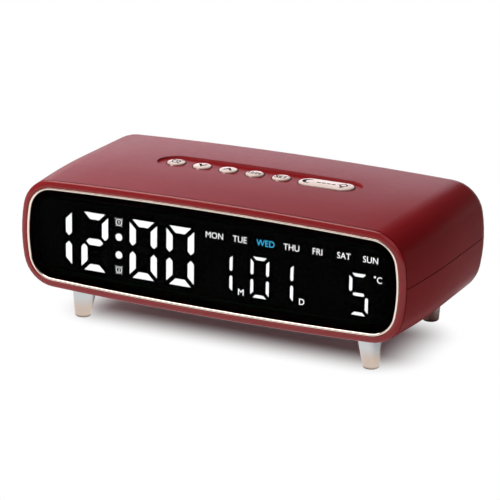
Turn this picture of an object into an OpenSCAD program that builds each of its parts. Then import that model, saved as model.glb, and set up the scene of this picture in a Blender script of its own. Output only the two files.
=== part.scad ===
// Digital alarm clock on four cone feet, with a wide display and six buttons on top.
// Millimetres. Z is up, the face looks along -Y and the feet stand on z = 0.

/* [Case] */
// Width of the face
face_w = 201; // [190:1:220]
// Height of the face at its middle
face_h = 56.6; // [54.5:0.1:62]
// Depth from the face to the back
case_d = 107; // [100:0.5:122]
// Height of the lower edge of the face above the table
ground_gap = 17.9; // [16:0.1:24]
// Bulge of each side behind the face
side_swell = 2.9; // [1.5:0.1:5]
// Bulge of the top and of the bottom behind the face
top_swell = 1.2; // [0.7:0.1:2]
// Radius of the corners of the face
corner_r = 16.5; // [15:0.5:19]
// Radius of the bowed sides of the face
side_r = 74.5; // [68:0.5:110]
// Radius of the crowned top and bottom edges
crown_r = 2316; // [1800:1:4000]
// Wall thickness of both shells
wall = 2.2; // [1.9:0.1:2.5]
// Height of the seam between the shells above the lower edge of the face
seam_h = 29.4; // [28.2:0.1:30.6]
// Depth of the rounding at the back
back_round = 16.7; // [13:0.1:20]
// How far the rounding takes in each side at the back
back_in_w = 17.6; // [13:0.1:20]
// How far the rounding takes in the top and the bottom at the back
back_in_h = 19.4; // [16:0.1:19.8]
// Height of the shadow line along the seam
seam_line = 0.4; // [0.2:0.1:0.8]

/* [Face] */
// Depth of the visible edge of the front frame
frame_d = 1.2; // [0.8:0.1:1.6]
// Width of the red rim of the front frame
rim_w = 3.3; // [3.1:0.1:3.6]
// Width of the metal trim round the lens
trim_w = 1.3; // [1.1:0.1:1.6]
// Thickness of the lens
lens_t = 1.2; // [0.8:0.1:2]
// Width of the ledge that the lens is glued to
ledge_w = 3.2; // [2.6:0.1:3.6]

/* [Display] */
// Height of the time digits
time_h = 29.1; // [26:0.1:30.5]
// Width of the time digits
time_w = 14.6; // [13:0.1:16]
// Stroke of the time digits
time_t = 3.3; // [2.6:0.1:4]
// Height of the date and temperature digits
date_h = 20; // [17:0.1:21]
// Width of the date and temperature digits
date_w = 9.5; // [8.5:0.1:10.6]
// Stroke of the date and temperature digits
date_t = 1.5; // [1.4:0.1:2.5]
// Gap between neighbouring segments
segment_gap = 1.1; // [0.8:0.05:1.4]
// Depth of the lamp housing
cell_d = 8; // [6:0.1:10]
// Depth of the diffusers in the lamp housing
diffuser_d = 3; // [2:0.1:4]

/* [Buttons] */
// Diameter of the round buttons
button_d = 9; // [8:0.1:10]
// Distance between the round buttons
button_pitch = 14.2; // [13.8:0.1:15]
// Length of the snooze button
snooze_l = 28.4; // [26:0.1:30]
// Width of the snooze button
snooze_w = 11; // [9.5:0.1:11.6]
// Depth of the recess round the buttons
recess_depth = 1.5; // [1.2:0.1:1.9]
// Width of the recess round the buttons
recess_w = 19; // [17.5:0.1:21]
// How far the buttons stand above the recess
button_rise = 0.9; // [0.7:0.1:1.3]
// Travel of every button
button_travel = 0.6; // [0.4:0.1:0.8]
// Gap round the buttons
button_gap = 0.35; // [0.3:0.05:0.5]

/* [Feet] */
// Diameter of a foot where it meets the case
foot_top_d = 12.8; // [11.5:0.1:13.4]
// Diameter of a foot near the table
foot_tip_d = 8; // [7:0.1:9]
// Outward lean of the feet in degrees
foot_lean = 4.5; // [0:0.5:6]
// Distance between the left and the right feet
foot_span = 154.4; // [146:0.2:158]
// Front feet behind the face
foot_front = 19.2; // [17:0.1:22]
// Rear feet in front of the back
foot_rear = 12.8; // [12:0.1:16]

/* [Battery and socket] */
// Diameter of the backup cell
cell_dia = 20; // [16:0.1:20]
// Thickness of the backup cell
cell_t = 3.2; // [1.6:0.1:3.2]
// Length of the cell door
door_l = 40; // [38:0.5:46]
// Width of the cell door
door_w = 26; // [24:0.5:30]
// Sideways place of the power socket
socket_x = 30; // [20:1:36]

/* [Hidden] */
$fn = 48;

// Planes of the case
front_y = -case_d / 2;
mid_z = ground_gap + face_h / 2;
seam_z = ground_gap + seam_h;
frame_back = frame_d + 0.3;
shell_front = frame_back + 0.3;
swell_end = 0.46 * case_d;
round_y = case_d / 2 - back_round;
round_power = 1.86;

// Steps of the side, the corner, the crown, the swell and the rounding
side_n = 3;
corner_n = 8;
crown_n = 5;
swell_n = 6;
round_n = 10;

// Arc centres of the face outline, seen from its middle
side_c = face_w / 2 - side_r;
crown_c = face_h / 2 - crown_r;
corner_c = arc_meet([0, crown_c], crown_r - corner_r, [side_c, 0], side_r - corner_r);
side_a = atan2(corner_c[1], corner_c[0] - side_c);
crown_a = atan2(corner_c[1] - crown_c, corner_c[0]);

// Insets from the face outline
shell_slip = 0.3;
skirt_out = wall + shell_slip;
skirt_in = skirt_out + 1.6;
lens_in = rim_w + trim_w + 0.05;
ledge_in = lens_in + ledge_w;
film_in = ledge_in + 0.2;
board_in = skirt_in + 0.9;
housing_in = ledge_in + 1.8;
post_r = 2.5;
post_in = (skirt_in + housing_in) / 2 - 0.55;

// Depths behind the face
lens_front = 0.25;
lens_back = lens_front + lens_t;
film_t = 0.15;
film_back = lens_back + film_t;
ledge_back = lens_back + 1.95;
board_front = film_back + cell_d;
board_t = 1.6;
board_back = board_front + board_t;
skirt_back = board_back + 0.3;

// Screws
small_d = 2.2;
small_head = 4.2;
small_head_h = 1.5;
case_d_screw = 3;
case_head = 5.6;
case_head_h = 2.2;
case_seat = seam_z - 8;
case_grip = 12;
screw_slip = 0.2;
screw_x = foot_span / 2 - 11.4;
screw_ys = [front_y + 27, case_d / 2 - 27];

// Tabs of the frame, held by pegs of the shells
tab_x = 0.25 * face_w;
tab_w = 10;
tab_t = 1.8;
tab_l = 8.5;
tab_top = crown_at(tab_x, skirt_out + 0.1);
peg_d = 2.6;
peg_y = front_y + skirt_back + tab_l - 4;

// Display layout from the middle of the face, as shares of its width and of the digits' height
time_z = -0.0124 * face_h;
date_z = time_z + (date_h - time_h) / 2 + 0.5;
colon_x = -0.2349 * face_w;
time_xs = [for (share = [-0.164, -0.0655, 0.0653, 0.1631]) colon_x + share * face_w];
date_xs = [for (share = [-0.02, 0.0412, 0.1349, 0.1965, 0.3217, 0.3832]) share * face_w];
day_xs = [for (i = [0 : 6]) (0.019 + 0.06465 * i) * face_w];
day_z = time_z + 0.446 * time_h;
colon_zs = [time_z + 0.1546 * time_h, time_z - 0.1515 * time_h];
colon_d = 0.1245 * time_h;
icon_zs = [time_z + 0.4187 * time_h, time_z - 0.3955 * time_h];
sign_xs = [for (share = [0.0875, 0.2405, 0.429]) share * face_w];
sign_zs = [date_z - 0.41 * date_h, date_z - 0.41 * date_h, date_z + 0.42 * date_h];

// Segments 0 to 6 run clockwise from the top bar, and 6 is the middle bar
full_digit = [0, 1, 2, 3, 4, 5, 6];
time_lit = [[1, 2], [0, 1, 3, 4, 6], [0, 1, 2, 3, 4, 5], [0, 1, 2, 3, 4, 5]];
date_made = [[1, 2], full_digit, full_digit, full_digit, full_digit, full_digit];
date_lit = [[], [1, 2], [0, 1, 2, 3, 4, 5], [1, 2], [], [0, 2, 3, 5, 6]];

// Buttons and their board
roof_z = mid_z + face_h / 2 + top_swell;
recess_z = roof_z - recess_depth;
recess_floor = 2;
floor_z = recess_z - recess_floor;
first_x = -43.6;
button_xs = [for (i = [0 : 4]) first_x + button_pitch * i];
snooze_x = button_xs[4] + button_d / 2 + 5 + snooze_l / 2;
recess_l = button_xs[0] - recess_w / 2;
recess_r = snooze_x + snooze_l / 2 - snooze_w / 2 + recess_w / 2;
switch_xs = concat(button_xs, [snooze_x]);
cap_z = recess_z + button_rise;
flange_z = floor_z - 0.3;
flange_t = 1;
flange_w = 1.1;
key_rib_w = 1.2;
key_rib_l = 1.4;
stem_d = 4;
plunger_z = flange_z - flange_t - 1.5;
plunger_d = 3.5;
plunger_l = 2.4;
switch_top = plunger_z - 0.5 - button_travel;
switch_s = 6;
switch_t = 3.5;
key_top = switch_top - switch_t;
key_bottom = key_top - board_t;
key_l = recess_r - recess_l + 16;
key_w = 18;
key_c = (recess_l + recess_r) / 2;
key_post_x = (recess_r - recess_l) / 2 + 4.6;
key_post_y = 5.6;

// Feet
pad_d = 5;
pad_t = 1.2;
pad_rise = 0.4;
tip_r = 1;
foot_x = foot_span / 2;
foot_ys = [front_y + foot_front, case_d / 2 - foot_rear];
foot_seat = ground_gap + 7;
seat_x = foot_x - tan(foot_lean) * foot_seat;
foot_slip = 0.15;
foot_boss = foot_seat + 2.6;
cup_d = foot_top_d + 3;
cup_room = 0.35;
foot_screw_l = 9;

// Floor of the lower shell along its middle
under_z = ground_gap - top_swell;
inside_z = under_z + wall;

// Backup cell
door_y = 9;
door_t = 2;
door_slip = 0.3;
door_top = under_z + 0.1 + door_t;
seat_z = door_top + 0.2;
cell_z = seat_z + 0.3;
contact_t = 0.5;
pocket_z = cell_z + cell_t + contact_t;
vault_top = pocket_z + 2;
vault_wall = 3;
door_screw_x = door_l / 2 - 3.6;

// Power socket
socket_w = 8.9;
socket_h = 3.2;
socket_t = 0.3;
socket_l = 7.4;
socket_z = mid_z - 4.1;
socket_mouth = case_d / 2 - 0.7;
socket_top = socket_z - socket_h / 2;
socket_board_t = 1.2;
socket_board_w = 18;
socket_board_l = 17;
socket_board_y = socket_mouth - 2.2 - socket_board_l;
socket_post_y = socket_board_y + 3.4;
socket_post_x = 6.2;

// Buzzer and temperature sensor
buzzer_d = 12;
buzzer_h = 8.5;
buzzer_x = -45;
buzzer_y = 9;
buzzer_z = inside_z + 1.4;
sensor_x = -26;
sensor_y = case_d / 2 - 22.2;
sensor_z = inside_z + 4;

// Where two circles cross, on the side of larger x
function arc_meet(a, ra, b, rb) =
  let (d = norm(b - a), u = (b - a) / d, t = (ra * ra - rb * rb + d * d) / (2 * d))
  let (h = sqrt(ra * ra - t * t))
  a + t * u + h * [u[1], -u[0]];

// Height of the crowned top edge over the middle, at an inset from the outline
function crown_at(x, inset) = crown_c + sqrt(pow(crown_r - inset, 2) - x * x);

// One quarter of the outline at an inset, from the side up to the middle of the top
function quarter(inset, start = 0) = concat(
  [for (i = [0 : side_n - 1]) let (a = start + (side_a - start) * i / side_n)
    [side_c + (side_r - inset) * cos(a), (side_r - inset) * sin(a)]],
  [for (i = [0 : corner_n - 1]) let (a = side_a + (crown_a - side_a) * i / corner_n)
    corner_c + (corner_r - inset) * [cos(a), sin(a)]],
  [for (i = [0 : crown_n]) let (a = crown_a + (90 - crown_a) * i / crown_n)
    [(crown_r - inset) * cos(a), crown_c + (crown_r - inset) * sin(a)]]);

// The whole outline at an inset, seen from the front
function outline(inset) =
  let (q = quarter(inset), n = len(q))
  concat(q,
    [for (i = [n - 2 : -1 : 0]) [-q[i][0], q[i][1]]],
    [for (i = [1 : n - 1]) [-q[i][0], -q[i][1]]],
    [for (i = [n - 2 : -1 : 1]) [q[i][0], -q[i][1]]]);

// Share of the full swell at a depth
function swell(y) = sin(90 * min((y - front_y) / swell_end, 1));

// Depth, side growth and top growth of each section of a shell, with its back wall thinned by cut
function sections(cut) = concat(
  [for (i = [0 : swell_n])
    let (y = front_y + shell_front + (swell_end - shell_front) * i / swell_n)
    [y, side_swell * swell(y), top_swell * swell(y)]],
  [[round_y, side_swell, top_swell]],
  [for (i = [1 : round_n])
    let (t = 90 * i / round_n, e = pow(sin(t), 2 / round_power), f = 1 - pow(cos(t), 2 / round_power))
    [round_y + e * (back_round - cut), side_swell - back_in_w * f, top_swell - back_in_h * f]]);

// Points of one half of a section, from the right seam over the top to the left seam
function half_row(inset, s, rel) =
  let (kx = 1 + 2 * s[1] / face_w, kz = 1 + 2 * s[2] / face_h,
       q = quarter(inset, asin(rel / kz / (side_r - inset))), n = len(q))
  concat([for (p = q) [p[0] * kx, s[0], p[1] * kz]],
    [for (i = [n - 2 : -1 : 0]) [-q[i][0] * kx, s[0], q[i][1] * kz]]);

// Half of the barrel case, a wall between an outer and an inner skin; side is 1 above the seam, -1 below
module shell_half(side) {
  rel = side * (seam_z - mid_z);
  outer = sections(0);
  inner = sections(wall);
  rows = len(outer) - 1;
  cols = 2 * (side_n + corner_n + crown_n);
  w = cols + 1;
  skin = w * (rows + 1);
  points = concat([for (s = outer) for (p = half_row(0, s, rel)) [p[0], p[1], mid_z + side * p[2]]],
    [for (s = inner) for (p = half_row(wall, s, rel)) [p[0], p[1], mid_z + side * p[2]]]);
  cells = [for (r = [0 : rows - 1]) for (c = [0 : cols - 1]) r * w + c];
  faces = concat(
    [for (k = cells) [k, k + 1, k + w + 1]],
    [for (k = cells) [k, k + w + 1, k + w]],
    [for (k = cells) [skin + k, skin + k + w + 1, skin + k + 1]],
    [for (k = cells) [skin + k, skin + k + w, skin + k + w + 1]],
    [for (c = [0 : cols - 1]) [c, skin + c, skin + c + 1, c + 1]],
    [for (r = [0 : rows - 1]) [r * w, (r + 1) * w, skin + (r + 1) * w, skin + r * w]],
    [for (r = [0 : rows - 1]) let (k = r * w + cols) [k + w, k, skin + k, skin + k + w]],
    [[for (c = [0 : cols]) rows * w + c]],
    [[for (c = [cols : -1 : 0]) skin + rows * w + c]],
    [[rows * w, rows * w + cols, skin + rows * w + cols, skin + rows * w]]);
  polyhedron(points, side > 0 ? faces : [for (f = faces) [for (i = [len(f) - 1 : -1 : 0]) f[i]]]);
}

// The same half as a solid block, shrunk by an inset, which trims what stands on the inside of a shell
module case_block(side, inset) {
  rel = side * (seam_z - mid_z);
  slices = sections(inset);
  rows = len(slices) - 1;
  cols = 2 * (side_n + corner_n + crown_n);
  w = cols + 1;
  points = [for (s = slices) for (p = half_row(inset, s, rel)) [p[0], p[1], mid_z + side * p[2]]];
  cells = [for (r = [0 : rows - 1]) for (c = [0 : cols - 1]) r * w + c];
  faces = concat(
    [for (k = cells) [k, k + 1, k + w + 1]],
    [for (k = cells) [k, k + w + 1, k + w]],
    [for (r = [0 : rows - 1]) [r * w, (r + 1) * w, (r + 1) * w + cols, r * w + cols]],
    [[for (c = [cols : -1 : 0]) c]],
    [[for (c = [0 : cols]) rows * w + c]]);
  polyhedron(points, side > 0 ? faces : [for (f = faces) [for (i = [len(f) - 1 : -1 : 0]) f[i]]]);
}

// Plan of the case at the seam, shrunk by an inset
function seam_plan(inset) =
  let (rows = [for (s = sections(inset)) half_row(inset, s, seam_z - mid_z)[0]], n = len(rows))
  concat([for (p = rows) [p[0], p[1]]], [for (i = [n - 1 : -1 : 0]) [-rows[i][0], rows[i][1]]]);

// Narrow step in the upper shell that draws a shadow line along the seam
module seam_step() {
  translate([0, 0, seam_z - 1])
    linear_extrude(1 + seam_line)
      difference() {
        translate([-face_w, front_y - 10])
          square([2 * face_w, case_d + 20]);
        polygon(seam_plan(0.25 * wall));
      }
}

// A ring of any cross-section that follows the face outline; the profile is a list of inset and depth
module outline_ring(profile) {
  n = len(outline(0));
  m = len(profile);
  points = [for (p = profile) for (q = outline(p[0])) [q[0], front_y + p[1], mid_z + q[1]]];
  corners = [for (i = [0 : m - 1]) for (j = [0 : n - 1])
    [i * n + j, i * n + (j + 1) % n, ((i + 1) % m) * n + (j + 1) % n, ((i + 1) % m) * n + j]];
  polyhedron(points, [for (c = corners) for (k = [1, 2]) [c[0], c[k], c[k + 1]]]);
}

// A drawing on the face, pushed back from one depth to another
module behind_face(from, to) {
  translate([0, front_y + to, mid_z])
    rotate([90, 0, 0])
      linear_extrude(to - from)
        children();
}

// Both sides, and both sides at the top and at the bottom
module left_right() {
  for (s = [1, -1])
    scale([s, 1, 1])
      children();
}

module all_corners() {
  for (sx = [1, -1], sz = [1, -1])
    translate([0, 0, mid_z])
      scale([sx, 1, sz])
        children();
}

// A plate or a hole with round ends along X
module slot_plate(length, width, height) {
  left_right()
    translate([(length - width) / 2, 0, 0])
      cylinder(d = width, h = height);
  translate([-(length - width) / 2, -width / 2, 0])
    cube([length - width, width, height]);
}

// A screw along Z with its head below z = 0 and its shank above
module screw(d, length, head, head_h) {
  difference() {
    union() {
      cylinder(d = d, h = length);
      translate([0, 0, -head_h])
        cylinder(d1 = head * 0.8, d2 = head, h = head_h);
    }
    translate([0, 0, -head_h - 1])
      cylinder(d = head * 0.45, h = 1 + head_h * 0.6, $fn = 6);
  }
}

// Segment of a digit of width w, height h and stroke t, drawn round the middle of the digit
module segment(i, w, h, t) {
  tip = segment_gap + 0.15 * t;
  end_x = w / 2 - tip;
  mid_x = w / 2 - t / 2 - segment_gap;
  post_end = 0.65 * segment_gap + 0.22 * t;
  bar = [[-end_x, h / 2], [end_x, h / 2], [end_x - t, h / 2 - t], [t - end_x, h / 2 - t]];
  post = [[w / 2, h / 2 - tip], [w / 2, post_end + t / 2], [w / 2 - t / 2, post_end],
          [w / 2 - t, post_end + t / 2], [w / 2 - t, h / 2 - tip - t]];
  cross = [[-mid_x, 0], [t / 2 - mid_x, t / 2], [mid_x - t / 2, t / 2],
           [mid_x, 0], [mid_x - t / 2, -t / 2], [t / 2 - mid_x, -t / 2]];
  if (i == 0) polygon(bar);
  if (i == 1) polygon(post);
  if (i == 2) polygon([for (p = post) [p[0], -p[1]]]);
  if (i == 3) polygon([for (p = bar) [p[0], -p[1]]]);
  if (i == 4) polygon([for (p = post) [-p[0], -p[1]]]);
  if (i == 5) polygon([for (p = post) [-p[0], p[1]]]);
  if (i == 6) polygon(cross);
}

function without(all, some) = [for (i = all) if (len(search(i, some)) == 0) i];

// Middle of a segment, where its lamp sits
function lamp_at(i, w, h, t) =
  i == 6 ? [0, 0] :
  i % 3 == 0 ? [0, (i == 0 ? 1 : -1) * (h - t) / 2] :
  [(i < 3 ? 1 : -1) * (w - t) / 2, (i == 1 || i == 5 ? 1 : -1) * h / 4];

module time_segments(lists) {
  for (k = [0 : 3], i = lists[k])
    translate([time_xs[k], time_z])
      segment(i, time_w, time_h, time_t);
}

module date_segments(lists) {
  for (k = [0 : 5])
    for (i = lists[k])
      translate([date_xs[k], date_z])
        segment(i, date_w, date_h, date_t);
}

module colon_circles() {
  for (z = colon_zs)
    translate([colon_x, z])
      circle(d = colon_d);
}

// Windows behind the printed days, the alarm signs and the letters
module legend_windows() {
  for (x = day_xs)
    translate([x, day_z])
      square([8.4, 4.6], center = true);
  for (z = icon_zs)
    translate([colon_x, z])
      square([5.4, 5.6], center = true);
  for (k = [0 : 2])
    translate([sign_xs[k], sign_zs[k]])
      square([4.8, 4.8], center = true);
}

module front_frame() {
  color([0.55, 0.12, 0.14]) {
    difference() {
      union() {
        outline_ring([
          [rim_w - 0.05, 0.35], [rim_w - 0.3, 0.02], [rim_w - 0.55, 0], [0.64 * rim_w, 0.07 * frame_d],
          [0.45 * rim_w, 0.2 * frame_d], [0.28 * rim_w, 0.37 * frame_d], [0.14 * rim_w, 0.56 * frame_d],
          [0.05 * rim_w, 0.76 * frame_d], [0, frame_d],
          [0.35, frame_back], [skirt_out, frame_back], [skirt_out, skirt_back], [skirt_in, skirt_back],
          [skirt_in, ledge_back], [ledge_in, ledge_back], [ledge_in, lens_back],
          [rim_w - 0.05, lens_back]
        ]);
        all_corners() {
          post_at() cylinder(r = post_r, h = board_front - ledge_back + 0.6);
          translate([tab_x - tab_w / 2, front_y + board_back - 1.4, tab_top - tab_t])
            cube([tab_w, tab_l + skirt_back - board_back + 1.4, tab_t]);
        }
      }
      cup_clearance();
      all_corners() {
        post_at() cylinder(d = small_d, h = board_front - ledge_back + 0.3);
        translate([tab_x, peg_y, tab_top - tab_t - 1])
          cylinder(d = peg_d + screw_slip, h = tab_t + 2);
      }
    }
  }
}

// Place of a board post: its axis runs forward from the front of the display board
module post_at() {
  translate([corner_c[0] + (corner_r - post_in) * cos(45), front_y + board_front,
             corner_c[1] + (corner_r - post_in) * sin(45)])
    rotate([90, 0, 0])
      children();
}

module bezel_trim() {
  color([0.85, 0.74, 0.6])
    outline_ring([
      [rim_w + trim_w, 0.4], [rim_w + 0.8 * trim_w, 0.1], [rim_w + 0.5 * trim_w, 0],
      [rim_w + 0.2 * trim_w, 0.1], [rim_w, 0.4], [rim_w, lens_back], [rim_w + trim_w, lens_back]
    ]);
}

module display_lens() {
  color([0.05, 0.05, 0.06])
    behind_face(lens_front, lens_back)
      polygon(outline(lens_in));
}

module legend_film() {
  color([0.1, 0.1, 0.1])
    behind_face(lens_back, film_back)
      polygon(outline(film_in));
}

module lamp_housing() {
  color([0.12, 0.12, 0.12])
    behind_face(film_back, board_front)
      difference() {
        polygon(outline(housing_in));
        time_segments([full_digit, full_digit, full_digit, full_digit]);
        date_segments(date_made);
        colon_circles();
        legend_windows();
      }
}

module lit_time_segments() {
  color("white")
    behind_face(film_back, film_back + diffuser_d)
      time_segments(time_lit);
}

module dark_time_segments() {
  color([0.25, 0.25, 0.25])
    behind_face(film_back, film_back + diffuser_d)
      time_segments([for (lit = time_lit) without(full_digit, lit)]);
}

module lit_date_segments() {
  color("white")
    behind_face(film_back, film_back + diffuser_d)
      date_segments(date_lit);
}

module dark_date_segments() {
  color([0.25, 0.25, 0.25])
    behind_face(film_back, film_back + diffuser_d)
      date_segments([for (k = [0 : 5]) without(date_made[k], date_lit[k])]);
}

module colon_dots() {
  color("white")
    behind_face(film_back, film_back + diffuser_d)
      colon_circles();
}

module display_lamps() {
  color([0.9, 0.85, 0.6])
    behind_face(board_front - 0.7, board_front) {
      for (k = [0 : 3], i = full_digit)
        translate([time_xs[k], time_z] + lamp_at(i, time_w, time_h, time_t))
          square([1.6, 0.8], center = true);
      for (k = [0 : 5], i = date_made[k])
        translate([date_xs[k], date_z] + lamp_at(i, date_w, date_h, date_t))
          square([1, 0.7], center = true);
      for (z = concat(colon_zs, icon_zs))
        translate([colon_x, z])
          square([1.6, 0.8], center = true);
      for (x = day_xs)
        translate([x, day_z])
          square([1.6, 0.8], center = true);
      for (k = [0 : 2])
        translate([sign_xs[k], sign_zs[k]])
          square([1.6, 0.8], center = true);
    }
}

module display_board() {
  color([0.1, 0.35, 0.2])
    difference() {
      behind_face(board_front, board_back)
        polygon(outline(board_in));
      cup_clearance();
      all_corners()
        post_at()
          translate([0, 0, -10])
            cylinder(d = small_d + screw_slip, h = 20);
    }
}

module driver_chip() {
  color([0.08, 0.08, 0.08])
    behind_face(board_back, board_back + 1.4)
      translate([-14, -3])
        square(10, center = true);
}

// Plug headers on the back of the display board and under the key board
module board_connectors() {
  color([0.9, 0.88, 0.8]) {
    translate([key_c - 6, front_y + board_back, mid_z + 4])
      cube([12, 4, 5]);
    translate([key_c - 6, -key_w / 2 + 1.5, key_bottom - 4])
      cube([12, 5, 4]);
    for (x = [buzzer_x, sensor_x, 0, socket_x])
      translate([x - 2.5, front_y + board_back, mid_z - 19])
        cube([5, 4, 4.5]);
  }
}

module display_screws() {
  color([0.7, 0.7, 0.72])
    all_corners()
      post_at()
        translate([0, 0, -board_t])
          screw(small_d, 6, small_head, small_head_h);
}

module upper_shell() {
  color([0.5, 0.1, 0.12])
    difference() {
      union() {
        shell_half(1);
        translate([key_c, 0, floor_z])
          slot_plate(recess_r - recess_l + 4, recess_w + 4, recess_floor);
        for (x = [key_c - key_post_x, key_c + key_post_x], y = [-key_post_y, key_post_y])
          translate([x, y, key_top])
            cylinder(d = 5, h = roof_z - 1.6 - key_top);
        for (y = screw_ys)
          left_right()
            translate([screw_x, y, seam_z])
              cylinder(d = 7.4, h = mid_z + face_h / 2 - 2 - seam_z);
        shell_pegs(1);
        roof_ribs();
      }
      seam_step();
      translate([key_c, 0, recess_z])
        slot_plate(recess_r - recess_l, recess_w, 6);
      for (x = button_xs)
        translate([x, 0, floor_z - 1]) {
          cylinder(d = button_d + 2 * button_gap, h = 6);
          translate([-key_rib_w / 2 - button_gap, -button_d / 2 - key_rib_l - button_gap, 0])
            cube([key_rib_w + 2 * button_gap, button_d / 2, 6]);
        }
      translate([snooze_x, 0, floor_z - 1])
        slot_plate(snooze_l + 2 * button_gap, snooze_w + 2 * button_gap, 6);
      for (x = [key_c - key_post_x, key_c + key_post_x], y = [-key_post_y, key_post_y])
        translate([x, y, key_top - 1])
          cylinder(d = small_d, h = 6);
      for (y = screw_ys)
        left_right()
          translate([screw_x, y, seam_z - 1])
            cylinder(d = case_d_screw, h = case_grip + 2);
    }
}

// Ribs under the roof, between the button recess and the back
module roof_ribs() {
  for (y = [recess_w / 2 + 6, recess_w / 2 + 16])
    translate([-0.3 * face_w, y - 0.7, roof_z - wall - 3.5])
      cube([0.6 * face_w, 1.4, 3.9]);
}

// Posts that press on the tabs of the front frame, with pegs through them; side as in shell_half
module shell_pegs(side) {
  translate([0, 0, mid_z])
    scale([1, 1, side])
      left_right()
        translate([tab_x, peg_y, 0]) {
          translate([0, 0, tab_top])
            cylinder(d = 6, h = face_h / 2 - 1.2 - tab_top);
          translate([0, 0, tab_top - tab_t - 1.5])
            cylinder(d = peg_d, h = tab_t + 2);
        }
}

module lower_shell() {
  color([0.5, 0.1, 0.12])
    difference() {
      union() {
        shell_half(-1);
        for (y = screw_ys)
          left_right()
            translate([screw_x, y, ground_gap + 1.6])
              cylinder(d = 8.6, h = seam_z - ground_gap - 1.6);
        intersection() {
          case_block(-1, 0.35 * wall);
          foot_cups();
        }
        shell_pegs(-1);
        seam_tabs();
        cell_vault();
        for (s = [-1, 1])
          translate([socket_x + s * socket_post_x, socket_post_y, under_z + 1.6])
            cylinder(d = 5, h = socket_top - socket_board_t - under_z - 1.6);
        translate([buzzer_x, buzzer_y, under_z + 1.2])
          cylinder(d = buzzer_d + 3, h = buzzer_z - under_z - 1.2 + 4);
        translate([sensor_x - 3, sensor_y - 2.5, under_z + 1.2])
          cube([6, 5, sensor_z - under_z - 1.2]);
      }
      for (y = screw_ys)
        left_right()
          translate([screw_x, y, 0]) {
            cylinder(d = case_head + 0.6, h = case_seat);
            cylinder(d = case_d_screw + 2 * screw_slip, h = seam_z + 1);
          }
      for (y = foot_ys)
        left_right()
          translate([0, y, 0]) {
            foot_cone(foot_slip);
            translate([seat_x, 0, foot_seat - 1])
              cylinder(d = case_d_screw + 2 * screw_slip, h = foot_boss - foot_seat + 2);
          }
      translate([-door_l / 2 - door_slip, door_y - door_w / 2 - door_slip, 0])
        cube([door_l + 2 * door_slip, door_w + 2 * door_slip, seat_z]);
      translate([0, door_y, 0])
        cylinder(d = cell_dia + 0.8, h = pocket_z);
      for (s = [-1, 1]) {
        translate([s * door_screw_x, door_y, 0])
          cylinder(d = small_d + 0.7, h = vault_top - 1);
        translate([socket_x + s * socket_post_x, socket_post_y, socket_top - 8])
          cylinder(d = small_d, h = 20);
      }
      translate([-4, door_y + cell_dia / 2 - 1.5, seat_z - 1])
        cube([8, 2.7, pocket_z - seat_z + 1]);
      translate([socket_x, case_d / 2 - wall - 2, socket_z])
        rotate([-90, 0, 0])
          translate([0, -socket_h / 2 - 0.3, 0])
            slot_bar(socket_w + 0.6, socket_h + 0.6, wall + 4);
      translate([socket_x, case_d / 2 - 0.6, socket_z])
        rotate([-90, 0, 0])
          translate([0, -3.6, 0])
            slot_bar(13, 7.2, 3);
      translate([buzzer_x, buzzer_y, buzzer_z])
        cylinder(d = buzzer_d + 0.2, h = 10);
      translate([buzzer_x, buzzer_y, 0])
        sound_holes();
      for (k = [-1 : 1])
        translate([sensor_x - 9 + 3 * k - 0.8, sensor_y - 7, 0])
          cube([1.6, 12, inside_z + 4]);
    }
}

// A bar with round ends along X whose lower edge is on the X axis
module slot_bar(length, width, height) {
  translate([0, width / 2, 0])
    slot_plate(length, width, height);
}

// Room that the front frame and the display board leave for the foot cups
module cup_clearance() {
  for (y = foot_ys)
    left_right()
      translate([seat_x, y, 0])
        cylinder(d = cup_d + 2 * cup_room, h = foot_boss + cup_room);
}

// Cups that the tops of the feet go into
module foot_cups() {
  for (y = foot_ys)
    left_right()
      translate([seat_x, y, ground_gap - 4])
        cylinder(d = cup_d, h = foot_boss - ground_gap + 4);
}

// A ring of six holes round one, below the buzzer
module sound_holes() {
  cylinder(d = 2, h = buzzer_z + 1);
  for (a = [0 : 60 : 300])
    rotate(a)
      translate([3.6, 0, 0])
        cylinder(d = 2, h = buzzer_z + 1);
}

// Tabs of the lower shell that line up the upper shell inside the seam
module seam_tabs() {
  inner_x = face_w / 2 - wall + side_swell;
  left_right()
    for (y = [-2, 22]) {
      translate([inner_x - 1.9, y - 6, seam_z - 6])
        cube([2.6, 12, 5.6]);
      translate([inner_x - 1.9, y - 6, seam_z - 1])
        cube([1.3, 12, 5]);
    }
}

// Block that holds the backup cell above its door
module cell_vault() {
  translate([-door_l / 2 - vault_wall, door_y - door_w / 2 - vault_wall, under_z + 1])
    cube([door_l + 2 * vault_wall, door_w + 2 * vault_wall, vault_top - under_z - 1]);
}

module key_board() {
  color([0.1, 0.35, 0.2])
    difference() {
      translate([key_c - key_l / 2, -key_w / 2, key_bottom])
        cube([key_l, key_w, board_t]);
      for (x = [key_c - key_post_x, key_c + key_post_x], y = [-key_post_y, key_post_y])
        translate([x, y, key_bottom - 1])
          cylinder(d = small_d + screw_slip, h = 5);
    }
}

module key_screws() {
  color([0.7, 0.7, 0.72])
    for (x = [key_c - key_post_x, key_c + key_post_x], y = [-key_post_y, key_post_y])
      translate([x, y, key_bottom])
        screw(small_d, 6, small_head, small_head_h);
}

module key_switches() {
  color([0.15, 0.15, 0.15])
    for (x = switch_xs)
      difference() {
        translate([x - switch_s / 2, -switch_s / 2, key_top])
          cube([switch_s, switch_s, switch_t]);
        translate([x, 0, switch_top - 1.6 - button_travel])
          cylinder(d = plunger_d + 0.6, h = 5);
      }
}

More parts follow.
